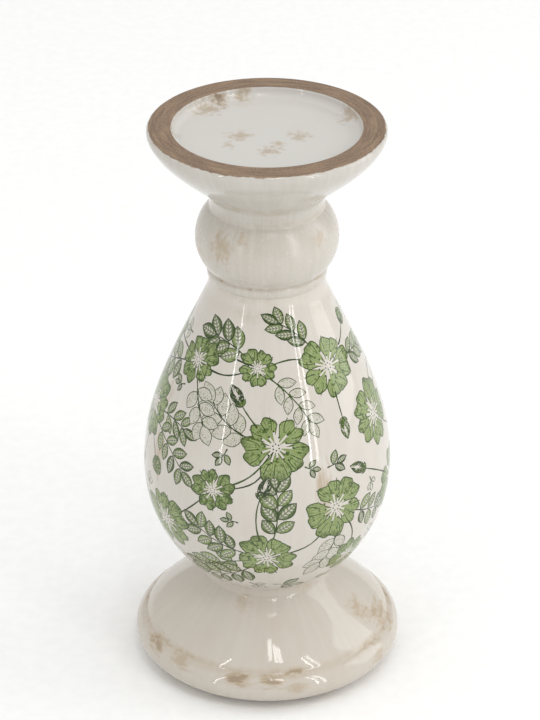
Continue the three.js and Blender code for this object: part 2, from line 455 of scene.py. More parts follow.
def shape(place, points, ink, half_width=1.0, length=1.0, tone=0.0):
    outline = place.outward(np.asarray(points, float))
    shapes.append((outline, INKS.index(ink), place, half_width, length, tone))


def inset(points, by):
    """An outline drawn in towards its middle by about that much."""
    low, high = points.min(0), points.max(0)
    middle = (low + high) / 2
    return middle + (points - middle) * np.maximum(1 - 2 * by / (high - low), 0.2)


def stem(places, width=0.8, end=0.5):
    """A curved line of ink through places (turn, climb)."""
    knots = np.array(places)
    knots = np.vstack([2 * knots[0] - knots[1], knots, 2 * knots[-1] - knots[-2]])
    line = []
    for a, b, c, d in zip(knots, knots[1:], knots[2:], knots[3:]):
        for t in np.arange(0, 1, 1 / 6):
            bowed = (2 * a - 5 * b + 4 * c - d) * t**2 + (3 * b - a - 3 * c + d) * t**3
            line.append(0.5 * (2 * b + (c - a) * t + bowed))
    line.append(knots[-2])
    ribbon(np.array(line), width, end)


def ribbon(line, width, end):
    """A line of ink of a tapering width along places (turn, climb)."""
    flat = np.stack([line[:, 0] * radius_at(line[:, 1]), line[:, 1]], 1)
    along = np.gradient(flat, axis=0)
    along /= np.linalg.norm(along, axis=1)[:, None]
    half = np.linspace(width, end, len(line))[:, None] / 2
    half = half * (1 + 0.16 * np.sin(np.arange(len(line)) * 1.9))[:, None]
    side = np.stack([along[:, 1] / radius_at(line[:, 1]), -along[:, 0]], 1) * half
    outline = np.vstack([line + side, (line - side)[::-1]])
    shapes.append((outline, INKS.index("line"), Spot(*line[0]), 1.0, 1.0, chance.uniform(-0.25, 0.1)))


def leaf(place, length, width, ink="leaf"):
    """A pointed oval leaf that grows from its place along its heading."""
    t = np.linspace(0, 1, 8)
    half = 0.5 * width * np.sin(math.pi * t) ** (0.55 + 0.45 * t)
    side = np.stack([half, t * length], 1)
    outline = np.vstack([side, (side * (-1, 1))[-2:0:-1]])
    tone = chance.uniform(-0.2, 0.15)
    shape(place, outline, "line", tone=tone)
    line = LINE if ink == "leaf" else 0.7 * LINE
    shape(place, inset(outline, line), ink, width / 2, length, tone)


def dot(place, radius, ink="line"):
    a = np.arange(6) * math.pi / 3
    shape(place, np.stack([radius * np.cos(a), radius * np.sin(a)], 1), ink)


def petal_outline(radius, seed):
    """One of five petals: two lobes with a shallow notch between them, and a narrow root."""
    k = np.linspace(1, -1, 17)
    fall = np.abs(k) - 0.45
    reach = radius * (1 - np.where(fall < 0, 0.55, 1.0) * fall**2 + 0.035 * np.sin(9 * k + seed))
    angle = k * math.radians(38)
    rim = np.stack([reach * np.sin(angle), reach * np.cos(angle)], 1)
    root = radius * np.array([(-0.19, 0.32), (-0.06, 0.14), (0.06, 0.14), (0.19, 0.32)])
    return np.vstack([rim, root])


def blossom(place, radius, petals=5):
    """An open flower with a pale eye, rays and a ring of stamens."""
    tone = chance.uniform(-0.1, 0.12)
    for i in range(petals):
        turned_place = place.away(0, 0, 360 * i / petals + chance.uniform(-5, 5))
        outline = petal_outline(radius * chance.uniform(0.88, 1.08), chance.uniform(0, 6))
        shape(turned_place, outline, "line", tone=tone)
        shape(turned_place, inset(outline, LINE), "petal", 0.5 * radius, radius, tone)
        for lean in (-0.3, 0.02, 0.28):
            foot_of_fold = np.array([(0.6 * lean, 0.5), (lean, 0.66), (1.25 * lean, 0.86)]) * radius
            band = np.vstack([foot_of_fold + (HALF_FOLD, 0), foot_of_fold[::-1] - (HALF_FOLD, 0)])
            shape(turned_place, band, "line", tone=tone)
    rays = 14
    for i in range(rays):
        ray = place.away(0, 0, 360 * (i + 0.3) / rays)
        tip = radius * (0.46 if i % 2 else 0.33) * chance.uniform(0.9, 1.15)
        half = 0.022 * radius
        root = 0.1 * radius
        shape(ray, [(-half, root), (half, root), (1.5 * half, tip), (-1.5 * half, tip)], "bare")
        dot(ray.away(0, tip), max(0.24, 0.034 * radius))
    ring = np.arange(10) * math.pi / 5
    size = np.where(np.arange(10) % 2, 0.2, 0.15)
    shape(place, radius * np.stack([size * np.cos(ring), size * np.sin(ring)], 1), "bare")
    for i in range(6):
        dot(place.away(0, 0, 60 * i).away(0, 0.1 * radius), max(0.2, 0.026 * radius))


def sepals(place, length):
    """Three small dark leaves at the bottom of a bud."""
    for swing in (-48, 0, 48):
        leaf(place.away(0, 0, swing), length, 0.42 * length, "bud")


def bud(place, radius):
    """A round bud that grows from its place along its heading."""
    a = np.arange(14) * math.pi / 7
    reach = radius * (1 + 0.07 * np.sin(3 * a + place.turn * 9))
    outline = np.stack([reach * np.cos(a), radius + reach * np.sin(a)], 1)
    tone = chance.uniform(-0.1, 0.2)
    shape(place, outline, "line", tone=tone)
    shape(place.away(0, 0), inset(outline, 0.8 * LINE), "bud", radius, 2 * radius, tone)
    for side in (-1, 1):
        t = np.linspace(-0.75, 0.8, 7)
        fold = np.stack([side * radius * (0.62 - 0.5 * t**2), radius * (1.05 + 0.8 * t)], 1)
        band = np.vstack([fold, (fold + (side * 0.26, 0.1))[::-1]])
        shape(place, band, "line", tone=tone)
    sepals(place, 0.85 * radius)


def closed_bud(place, length, width):
    """A long pointed bud in its sepals."""
    leaf(place, length, width, "bud")
    slit = np.array([(0.02, 0.3), (0.13, 0.55), (0.05, 0.86), (0.0, 0.6)])
    shape(place, slit * (width, length), "bare")
    shape(place, slit * (-width, length) + (0, 0.06 * length), "bare")
    sepals(place, 0.34 * length)


def walk(place, length, bend, steps):
    """Spots along a line that leaves a place along its heading and bends by some degrees."""
    line = [place]
    for _ in range(steps):
        line.append(line[-1].away(0, length / steps, bend / steps))
    return line


def spray(place, length, bend, pairs, leaf_length, leaf_width, ink="leaf", spread=52, tip=True):
    """A stem with leaves in pairs, which bends by some degrees along its length."""
    steps = 6 * pairs
    line = walk(place, length, bend, steps)
    ribbon(np.array([(p.turn, p.climb) for p in line]), 0.65, 0.4)
    for i in range(pairs):
        here = line[round(steps * (i + 0.7) / pairs)]
        size = 1 - 0.22 * abs(i + 0.5 - 0.45 * pairs) / pairs
        for side in (-1, 1):
            base = here.away(0.3 * side, 0.5 * side, side * (spread + chance.uniform(-7, 7)))
            grown = size * chance.uniform(0.9, 1.08)
            leaf(base, leaf_length * grown, leaf_width * grown, ink)
    if tip:
        leaf(line[-1], leaf_length * 0.95, leaf_width * 0.95, ink)


# ---- The arrangement --------------------------------------------------------------------------------

# Where everything goes is a matter of rule and of the seeded draws. Blossoms of three sizes are thrown
# over the body, each clear of those before it. Sprays and buds then grow out of them into free ground,
# a stem ties each blossom to its nearest neighbour, and small sprigs fill what is left.
LOWEST = 9  # the print's ends, above the waist
HIGHEST = 131
BLOSSOM_LOWEST = 18
BLOSSOM_HIGHEST = 114
BLOSSOM_THROWS = ((14.0, 40), (11.0, 400), (8.6, 1600))  # radius, throws
BLOSSOM_MARGIN = 8.0
BRANCH_ROOM = 3.4  # half the width that a spray or a bud's stalk keeps for itself
BUD_SHARE = 0.28


def apart(place, turn, climb):
    """How far places lie from a spot, over the body."""
    gap = (turn - place.turn + math.pi) % (2 * math.pi) - math.pi
    return np.hypot(gap * radius_at(place.climb), climb - place.climb)


def is_free(places, room, taken):
    """Whether spots lie between the print's ends and clear of the discs (turn, climb, radius) taken."""
    discs = np.array(taken).reshape(-1, 3)
    for place in places:
        if not climb_at(LOWEST) < place.climb < climb_at(HIGHEST):
            return False
        if (apart(place, discs[:, 0], discs[:, 1]) < discs[:, 2] + room).any():
            return False
    return True


def thrown_blossoms():
    """Spots and radii for the blossoms, the largest first."""
    found = []
    for radius, throws in BLOSSOM_THROWS:
        for _ in range(throws):
            climb = climb_at(chance.uniform(BLOSSOM_LOWEST, BLOSSOM_HIGHEST))
            place = Spot(chance.uniform(-math.pi, math.pi), climb, chance.uniform(-math.pi, math.pi))
            taken = [(other.turn, other.climb, size) for other, size in found]
            if is_free([place], radius + BLOSSOM_MARGIN, taken):
                found.append((place, radius * chance.uniform(0.92, 1.06)))
    return found


def grown_branches(blossoms):
    """Branches (root, length, bend, is_bud) that leave the blossoms wherever there is room."""
    branches = []
    grown = []
    for centre, size in blossoms:
        others = [(other.turn, other.climb, radius) for other, radius in blossoms if other is not centre]
        start = chance.uniform(0, 360)
        for step in range(12):
            root = centre.away(0, 0, start + 150 * step).away(0, 0.8 * size)
            length = chance.uniform(15, 27)
            bend = chance.uniform(-38, 38)
            is_bud = chance.uniform() < BUD_SHARE
            line = walk(root, length, bend, 6)[1:]
            if is_free(line, BRANCH_ROOM, others + grown):
                branches.append((root, length, bend, is_bud))
                grown.extend((place.turn, place.climb, BRANCH_ROOM) for place in line)
    return branches


def tie(one, other):
    """A curved stem from one blossom to another, under both."""
    gap = (other.turn - one.turn + math.pi) % (2 * math.pi) - math.pi
    rise = other.climb - one.climb
    sag = chance.uniform(-0.22, 0.22)
    turn = one.turn + gap / 2 - sag * rise / radius_at(one.climb)
    climb = one.climb + rise / 2 + sag * gap * SHEET_RADIUS
    stem([(one.turn, one.climb), (turn, climb), (one.turn + gap, other.climb)], width=0.9)


def grow_print():
    blossoms = thrown_blossoms()
    branches = grown_branches(blossoms)
    for centre, _ in blossoms:
        rest = [other for other, _ in blossoms if other is not centre]
        tie(centre, min(rest, key=lambda other: apart(centre, other.turn, other.climb)))
    for root, length, bend, is_bud in branches:
        if not is_bud:
            pairs = round(length / 6.2)
            ink = "leaf" if chance.uniform() < 0.72 else "pale"
            size = chance.uniform(8.6, 10.6)
            width = size * chance.uniform(0.48, 0.68)
            spray(root, length, bend, pairs, size, width, ink, chance.uniform(36, 62))
    for centre, radius in blossoms:
        blossom(centre, radius)
    for root, length, bend, is_bud in branches:
        if is_bud:
            line = walk(root, length - 5, bend, 6)
            ribbon(np.array([(place.turn, place.climb) for place in line]), 0.75, 0.5)
            if chance.uniform() < 0.55:
                bud(line[-1], chance.uniform(3.2, 4.6))
            else:
                closed_bud(line[-1], chance.uniform(9, 12), chance.uniform(4.8, 5.8))


def fill_gaps(spacing, clearance, lowest, highest):
    """Grow small sprigs in a loose lattice wherever the print leaves more than a clearance bare."""
    inked = np.vstack([outline for outline, *_ in shapes])
    rows = np.arange(climb_at(lowest), climb_at(highest), spacing)
    for n, climb in enumerate(rows):
        columns = int(2 * math.pi * radius_at(climb) / spacing)
        for k in range(columns):
            turn = 2 * math.pi * (k + 0.5 * (n % 2) + chance.uniform(-0.25, 0.25)) / columns - math.pi
            here = Spot(turn, climb, chance.uniform(-math.pi, math.pi))
            away = apart(here, inked[:, 0], inked[:, 1]).min()
            if away < clearance:
                continue
            ink = "leaf" if chance.uniform() < 0.7 else "pale"
            before = len(shapes)
            spray(here.away(0, -0.8 * away), 0.8 * away, chance.uniform(-25, 25), 1, away, 0.6 * away, ink)
            inked = np.vstack([inked, *(outline for outline, *_ in shapes[before:])])


grow_print()
fill_gaps(5.5, 4.4, LOWEST, 118)


# ---- The printed body -------------------------------------------------------------------------------


def clipped(outline, edge, keep_above):
    """An outline cut off at a turn, on one side of it."""
    sign = 1 if keep_above else -1
    result = []
    for i, here in enumerate(outline):
        before = outline[i - 1]
        inside, was_inside = sign * (here[0] - edge) >= 0, sign * (before[0] - edge) >= 0
        if inside != was_inside:
            share = (edge - before[0]) / (here[0] - before[0])
            result.append(np.array([edge, before[1] + share * (here[1] - before[1])]))
        if inside:
            result.append(here)
    return np.array(result)


def print_shapes():
    """The shapes with each one's copies moved into one turn of the body and cut at its ends."""
    for outline, ink, place, half_width, length, tone in shapes:
        for lap in (-1, 0, 1):
            moved = outline + (2 * math.pi * lap, 0)
            if moved[:, 0].max() <= -math.pi or moved[:, 0].min() >= math.pi:
                continue
            moved = clipped(moved, -math.pi, True)
            moved = clipped(moved, math.pi, False) if len(moved) else moved
            moved[:, 1] = np.clip(moved[:, 1], PRINT_MARGIN, CLIMB[-1] - PRINT_MARGIN)
            if len(moved) > 2:
                there = Spot(place.turn + 2 * math.pi * lap, place.climb, place.heading)
                yield moved, ink, there, half_width, length, tone


def uppermost(outlines, points):
    """For each point the number of the last outline that holds it, or -1."""
    owners = np.full(len(points), -1)
    for number, outline in enumerate(outlines):
        boxed = ((points > outline.min(0)) & (points < outline.max(0))).all(1)
        candidates = np.flatnonzero(boxed)
        x, y = points[candidates].T
        within = np.zeros(len(candidates), bool)
        for (x0, y0), (x1, y1) in zip(np.roll(outline, 1, axis=0), outline):
            crosses = (y < y0) != (y < y1)
            within ^= crosses & (x < x0 + (y - y0) * (x1 - x0) / ((y1 - y0) or 1))
        owners[candidates[within]] = number
    return owners


def seen(inks):
    """The inks without those that later ones hide, judged by their corners and the middles of their sides."""
    outlines = [outline for outline, *_ in inks]
    tests = [np.vstack([outline, (outline + np.roll(outline, 1, axis=0)) / 2]) for outline in outlines]
    owners = uppermost(outlines, np.vstack(tests))
    ends = np.cumsum([len(test) for test in tests])
    own = np.split(owners, ends[:-1])
    return [ink for number, ink in enumerate(inks) if (own[number] <= number).any()]


def printed_body(materials):
    """The body as one closed mesh, whose outside is divided along the outlines of the print."""
    columns = np.linspace(-math.pi, math.pi, AROUND + 1)
    rows = np.linspace(0, CLIMB[-1], GRID_ROWS + 1)
    grid = np.array([(turn, climb) for climb in rows for turn in columns])
    wide = AROUND + 1
    points = [tuple(p) for p in grid * (SHEET_RADIUS, 1)]
    edges = []
    for j in range(GRID_ROWS):
        for side in (0, AROUND):
            edges.append((j * wide + side, (j + 1) * wide + side))
    for i in range(AROUND):
        for row in (0, GRID_ROWS):
            edges.append((row * wide + i, row * wide + i + 1))
    inks = seen(list(print_shapes()))
    for outline, *_ in inks:
        numbers = range(len(points), len(points) + len(outline))
        edges.extend(zip(numbers, [*numbers[1:], numbers[0]]))
        points.extend(tuple(p) for p in outline * (SHEET_RADIUS, 1))
    flat, _, triangles, sources, _, _ = delaunay_2d_cdt([Vector(p) for p in points], edges, [], 0, 1e-4, True)
    flat = np.array([tuple(p) for p in flat]) / (SHEET_RADIUS, 1)
    triangles = np.array(triangles)
    owners = uppermost([outline for outline, *_ in inks], flat[triangles].mean(1))

    # The two ends of the sheet meet at the back, so each point of the right end becomes one of the left.
    left = np.flatnonzero(flat[:, 0] < -math.pi + 1e-5)
    right = np.flatnonzero(flat[:, 0] > math.pi - 1e-5)
    left = left[np.argsort(flat[left, 1])]
    merged = np.arange(len(flat))
    for v in right:
        merged[v] = left[np.abs(flat[left, 1] - flat[v, 1]).argmin()]

    where = {}
    for v, given in enumerate(sources):
        for source in given:
            where[source] = v
    bottom = [int(merged[where[i]]) for i in range(AROUND)]
    top = [int(merged[where[GRID_ROWS * wide + i]]) for i in range(AROUND)]

    outer = []
    corner_uv = []
    face_ink = []
    face_tone = []
    for triangle, owner in zip(triangles, owners):
        corners = [int(merged[v]) for v in triangle]
        if len(set(corners)) < 3:
            continue
        ink, tone, uv = 0, 0.0, np.zeros((3, 2))
        if owner >= 0:
            _, ink, place, half_width, length, tone = inks[owner]
            across, along = place.inward(*flat[triangle].T)
            uv = np.stack([across / half_width, along / length], 1)
        outer.append(corners)
        corner_uv.extend(uv)
        face_ink.append(ink)
        face_tone.append(tone)

    # The land, bore, inside and spigot close the shell, ring by ring, from the top to the bottom.
    turns = columns[:-1]
    vertices = list(on_body(flat[:, 0], flat[:, 1]))
    ring = top
    quads = []
    section = softened(body_inside(OUTSIDE), closed=False)[1:-1]
    for radius, height in section:
        fresh = list(range(len(vertices), len(vertices) + AROUND))
        vertices.extend(wobbled(turns, radius, height))
        quads.extend(ring_faces(ring, fresh))
        ring = fresh
    quads.extend(ring_faces(ring, bottom))

    used = sorted({v for face in outer + quads for v in face})
    renumber = {v: n for n, v in enumerate(used)}
    faces = [[renumber[v] for v in face] for face in outer + quads]
    piece = mesh_object("printed_body", np.array(vertices)[used], faces, materials)
    mesh = piece.data
    rest = len(quads)
    mesh.polygons.foreach_set("material_index", [0] * len(outer) + [1] * rest)
    uv = mesh.uv_layers.new(name="motif")
    uv.data.foreach_set("uv", np.concatenate([np.array(corner_uv).ravel(), np.zeros(rest * 8)]))
    for n, name in enumerate(INKS[1:], 1):
        layer = mesh.attributes.new("ink_" + name, "FLOAT", "FACE")
        layer.data.foreach_set("value", [float(ink == n) for ink in face_ink] + [0.0] * rest)
    layer = mesh.attributes.new("ink_tone", "FLOAT", "FACE")
    layer.data.foreach_set("value", face_tone + [0.0] * rest)

    # The print divides the outside unevenly, so its shading comes from the true surface.
    mesh.set_sharp_from_angle(angle=SHADING_ANGLE)
    normals = np.array([normal.vector[:] for normal in mesh.corner_normals])
    printed = flat[np.array(outer).ravel()]
    normals[: len(printed)] = body_normals(printed[:, 0], printed[:, 1])
    mesh.normals_split_custom_set(normals.tolist())
    return piece


# ---- Materials --------------------------------------------------------------------------------------


def srgb(red, green, blue):
    """A screen colour from 0 to 255 as linear light."""
    steps = [c / 255 for c in (red, green, blue)]
    return tuple(c / 12.92 if c <= 0.04045 else ((c + 0.055) / 1.055) ** 2.4 for c in steps) + (1.0,)


class Look:
    """A material, with short ways to build its nodes. Lengths in its patterns are in millimetres."""

    def __init__(self, name, **sockets):
        self.material = bpy.data.materials.new(name)
        self.material.use_nodes = True
        self.nodes = self.material.node_tree.nodes
        self.links = self.material.node_tree.links
        self.shader = self.nodes["Principled BSDF"]
        for socket, value in sockets.items():
            self.shader.inputs[socket.replace("_", " ")].default_value = value
        coordinates = self.nodes.new("ShaderNodeTexCoord").outputs["Object"]
        self.place = self.node("VectorMath", coordinates, operation="SCALE", Scale=1 / MM)
        parts = self.nodes.new("ShaderNodeSeparateXYZ")
        self.links.new(self.place, parts.inputs[0])
        self.x, self.y, self.z = parts.outputs
        squares = self.times(self.x, self.x), self.times(self.y, self.y)
        self.radius = self.math("SQRT", self.plus(*squares))

    def feed(self, socket, value):
        if isinstance(value, bpy.types.NodeSocket):
            self.links.new(value, socket)
        else:
            socket.default_value = value

    def node(self, kind, *values, output=0, **settings):
        """A node's output. Values go to its inputs in order, and a capitalised name to the one it names."""
        node = self.nodes.new("ShaderNode" + kind)
        for name, value in settings.items():
            if name[0].islower():
                setattr(node, name, value)
        for name, value in settings.items():
            if name[0].isupper():
                self.feed(node.inputs[name.replace("_", " ")], value)
        for socket, value in zip(node.inputs, values):
            self.feed(socket, value)
        return node.outputs[output]

    def math(self, operation, *values):
        return self.node("Math", *values, operation=operation)

    def times(self, a, b):
        return self.math("MULTIPLY", a, b)

    def plus(self, a, b):
        return self.math("ADD", a, b)

    def ramp(self, value, low, high, bottom=0.0, top=1.0):
        """The value carried smoothly from bottom at low to top at high, and held beyond them."""
        return self.node("MapRange", value, low, high, bottom, top, interpolation_type="SMOOTHSTEP")

    def hump(self, value, middle, below, above):
        """1 at the middle, and 0 from below it by one distance or above it by another."""
        rise = self.ramp(value, middle - below, middle)
        return self.times(rise, self.ramp(value, middle, middle + above, 1.0, 0.0))

    def noise(self, size, detail=3.0, where=None, roughness=0.55):
        """Cloudy noise about 0.5, with features of about that many millimetres."""
        where = self.place if where is None else where
        return self.node("TexNoise", Vector=where, Scale=1 / size, Detail=detail, Roughness=roughness)

    def stretched(self, around, along):
        """Coordinates on which noise runs in streaks: that many units round the piece and up it."""
        flat = [self.times(self.math("DIVIDE", side, self.radius), around) for side in (self.x, self.y)]
        return self.node("CombineXYZ", *flat, self.times(self.z, along))

    def mix(self, share, a, b, blend="MIX"):
        node = self.nodes.new("ShaderNodeMix")
        node.data_type = "RGBA"
        node.blend_type = blend
        for name, value in (("Factor_Float", share), ("A_Color", a), ("B_Color", b)):
            self.feed(next(s for s in node.inputs if s.identifier == name), value)
        return next(s for s in node.outputs if s.identifier == "Result_Color")

    def attribute(self, name):
        return self.node("Attribute", attribute_name=name, output=2)

    def finish(self, colour, roughness, height=None, distance=0.1):
        """Link the colour, the roughness and a bump of that many millimetres to the shader."""
        self.feed(self.shader.inputs["Base Color"], colour)
        self.feed(self.shader.inputs["Roughness"], roughness)
        if height is not None:
            bump = self.node("Bump", Strength=1.0, Distance=distance * MM, Height=height)
            self.feed(self.shader.inputs["Normal"], bump)
        return self.material


CREAM = srgb(206, 202, 194)
TAN = srgb(164, 140, 104)
UMBER = srgb(104, 80, 52)


def glaze_colour(look, tint, creases=(), blotches=(), brushed=1.0, drag=None):
    """Cream glaze over a brown wash in the creases and in a few blotches; some crease bands are painted
    shade.

    A crease is (height, reach below, reach above, depth of colour). A blotch is (turn in degrees, distance
    from the axis, height, reach, how many times as tall as wide, depth of colour). Brushed is the share of
    the brush's streaks that shows, and drag stretches the edges of the blotches as stretched() does.
    """
    streaks = look.noise(1.0, 4.0, look.stretched(15, 0.05))
    clouds = look.noise(22)
    grain = look.noise(2.6, 4.0)
    pale = look.mix(0.3, tint, CREAM)
    shade = look.mix(look.times(look.ramp(streaks, 0.34, 0.68), brushed), tint, pale)
    warm = look.mix(0.42, tint, TAN)
    colour = look.mix(look.times(look.ramp(clouds, 0.46, 0.8), 0.16), shade, warm)
    patchy = look.times(look.ramp(look.noise(17, 2.0), 0.42, 0.62), look.ramp(grain, 0.3, 0.62))
    faint = look.ramp(look.noise(1.0, 5.0, look.stretched(24, 0.09)), 0.6, 0.86)
    wash = look.times(look.times(faint, 0.16), brushed)
    for height, below, above, depth in creases:
        band = look.hump(look.z, height, below, above)
        band = look.times(band, look.ramp(patchy, 0, 1, 0.2 * depth, depth))
        wash = look.math("MAXIMUM", wash, band)
    smear = look.noise(1.0, 4.0, look.stretched(*drag)) if drag else grain
    edge = look.times(look.plus(smear, -0.5), 3.0)
    for turn, out, height, reach, tall, depth in blotches:
        angle = math.radians(turn)
        centre = (out * math.sin(angle), -out * math.cos(angle), height / tall)
        squeezed = look.node("VectorMath", look.place, (1, 1, 1 / tall), operation="MULTIPLY")
        away = look.node("VectorMath", squeezed, centre, operation="DISTANCE", output=1)
        ragged = look.plus(away, look.times(edge, reach))
        spot_of_wash = look.ramp(ragged, 0.1 * reach, 1.1 * reach, depth, 0.0)
        wash = look.math("MAXIMUM", wash, spot_of_wash)
    dark = look.mix(look.ramp(wash, 0.45, 1.0), TAN, UMBER)
    return look.mix(look.math("MINIMUM", wash, 0.9), colour, dark)


def glaze_height(look):
    """The slow ripple of a poured glaze, with the drag marks of the brush that laid the slip below it."""
    ripple = look.noise(11, 2.0)
    drag = look.noise(1.0, 3.0, look.stretched(34, 0.05))
    return look.plus(ripple, look.times(drag, 0.22))


def glaze_roughness(look, smooth=0.035):
    return look.ramp(look.noise(4, 4.0), 0.3, 0.75, smooth, 2.5 * smooth)


def glaze_look(name, tint, creases, blotches, brushed, drag, smooth=0.035):
    look = Look(name, IOR=1.52)
    colour = glaze_colour(look, tint, creases, blotches, brushed, drag)
    return look.finish(colour, glaze_roughness(look, smooth), glaze_height(look), 0.04)


INK_DARK = srgb(24, 42, 4)
INK_DEEP = srgb(52, 72, 16)
INK_MIDDLE = srgb(92, 111, 50)
INK_LIGHT = srgb(136, 151, 96)


def printed_look():
    """The body's glaze, with the green print under it."""
    look = Look("printed_glaze", IOR=1.52)
    ground = glaze_colour(
        look,
        srgb(197, 191, 182),
        creases=((WAIST, 3, 7, 0.4), (COLLAR, 5, 2, 0.35), (COLLAR - BODY_NECK_BAND - 1, 4, 5, 0.22)),
        blotches=(
            (27, 52, WAIST + 60, 4.5, 4, 0.6),
            (-2, 45, WAIST + 104, 4, 3, 0.45),
            (-62, 51, WAIST + 66, 4, 4, 0.55),
            (-68, 45, WAIST + 96, 4, 3, 0.4),
            (32, 40, WAIST + 118, 3, 3, 0.3),
            (-20, 32, WAIST + 10, 5, 1.5, 0.3),
            (150, 50, WAIST + 80, 5, 4, 0.4),
            (-120, 50, WAIST + 40, 4, 3, 0.4),
            (110, 48, WAIST + 30, 4, 3, 0.35),
        ),
        drag=(26, 0.1),
    )
    motif = look.node("UVMap", uv_map="motif")
    parts = look.nodes.new("ShaderNodeSeparateXYZ")
    look.feed(parts.inputs[0], motif)
    across, along = look.math("ABSOLUTE", parts.outputs[0]), parts.outputs[1]
    tone = look.attribute("ink_tone")
    mottle = look.noise(0.7, 3.0)
    blot = look.noise(1.7, 3.0)

    # A leaf has a green border and a pale middle with a herringbone of short strokes.
    belly = look.math("MAXIMUM", look.math("SINE", look.times(along, math.pi)), 0.15)
    reach = look.plus(look.math("DIVIDE", across, belly), look.times(look.plus(mottle, -0.5), 0.5))
    border = look.ramp(reach, 0.22, 0.6)
    strokes = look.math("SINE", look.times(look.plus(along, look.times(across, -0.22)), 40.0))
    strokes = look.times(look.ramp(strokes, -0.35, 0.25), look.ramp(across, 0.03, 0.12))
    middle = look.mix(look.times(strokes, 0.85), ground, INK_MIDDLE)
    rim = look.mix(look.ramp(look.plus(mottle, tone), 0.3, 0.72), INK_DEEP, INK_LIGHT)
    rib = look.ramp(across, 0.05, 0.13, 1.0, 0.0)
    leaf_colour = look.mix(look.times(rib, 0.8), look.mix(border, middle, rim), INK_DEEP)

    # A petal is a wash of green with fine veins that run out from its root.
    angle = look.math("DIVIDE", parts.outputs[0], look.math("MAXIMUM", along, 0.05))
    wave = look.plus(look.times(angle, 26.0), look.times(blot, 11.0))
    veins = look.times(look.ramp(look.math("SINE", wave), 0.25, 0.95), look.ramp(along, 0.25, 0.5, 0.9, 0.6))
    wash = look.mix(look.ramp(look.plus(blot, tone), 0.42, 0.6), INK_MIDDLE, INK_LIGHT)
    wash = look.mix(look.ramp(blot, 0.34, 0.46, 0.75, 0.0), wash, INK_DEEP)
    wash = look.mix(look.times(look.ramp(mottle, 0.62, 0.7), 0.6), wash, ground)
    edge = look.ramp(along, 0.72, 0.98)
    wash = look.mix(look.times(edge, look.ramp(mottle, 0.35, 0.6, 0.15, 0.75)), wash, INK_DEEP)
    petal_colour = look.mix(look.times(veins, 0.75), wash, INK_DEEP)

    # A bud is dense and mottled, and a pale leaf is an outline filled with scattered dots.
    bud_colour = look.mix(look.ramp(look.plus(mottle, tone), 0.3, 0.56), INK_DARK, INK_MIDDLE)
    elsewhere = look.node("VectorMath", look.place, (40.0, 0, 0), operation="ADD")
    flecks = look.ramp(look.noise(1.1, 3.0, elsewhere), 0.55, 0.62)
    bud_colour = look.mix(look.times(flecks, 0.8), bud_colour, ground)
    gaps = look.node("TexVoronoi", Vector=look.place, Scale=1.35)
    pale_colour = look.mix(look.ramp(gaps, 0.2, 0.42, 0.85, 0.12), ground, INK_MIDDLE)
    line_colour = look.mix(look.ramp(look.plus(mottle, tone), 0.25, 0.6), INK_DARK, INK_DEEP)

    colour = ground
    for name, ink in (
        ("line", line_colour),
        ("leaf", leaf_colour),
        ("petal", petal_colour),
        ("bud", bud_colour),
        ("pale", pale_colour),
    ):
        colour = look.mix(look.attribute("ink_" + name), colour, ink)
    worn = look.times(look.ramp(look.noise(1.6, 5.0), 0.62, 0.74), 0.28)
    colour = look.mix(worn, colour, ground)
    return look.finish(colour, glaze_roughness(look, 0.018), glaze_height(look), 0.05)


